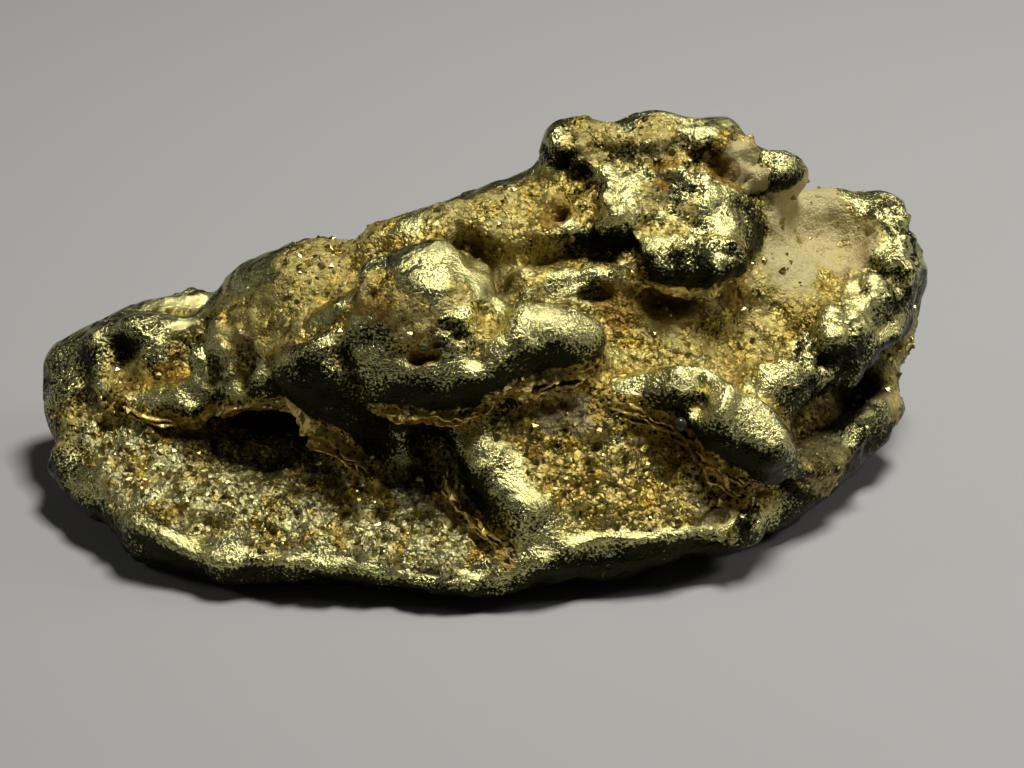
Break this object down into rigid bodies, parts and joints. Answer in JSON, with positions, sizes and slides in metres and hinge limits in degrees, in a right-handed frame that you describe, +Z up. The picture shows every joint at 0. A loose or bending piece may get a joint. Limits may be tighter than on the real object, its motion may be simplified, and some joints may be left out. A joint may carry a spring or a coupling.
{
  "type": "gold nugget",
  "caption": "Water-worn native gold nugget with folded lobes, a turned-up rim and iron-stained hollows, lying on its worn underside",
  "frame": {"origin": "centre of the bounding box at its base, on the surface the nugget lies on", "axes": "+X along the nugget's length, towards its thick ridged end; +Y away from the folded front; +Z up"},
  "size_m": [0.0178, 0.01, 0.0068],
  "materials": {
    "native_gold": "worn bright on the high spots, matte and iron-stained in the hollows"
  },
  "bodies": {
    "root": {"nugget": "native_gold"}
  },
  "joints": []
}
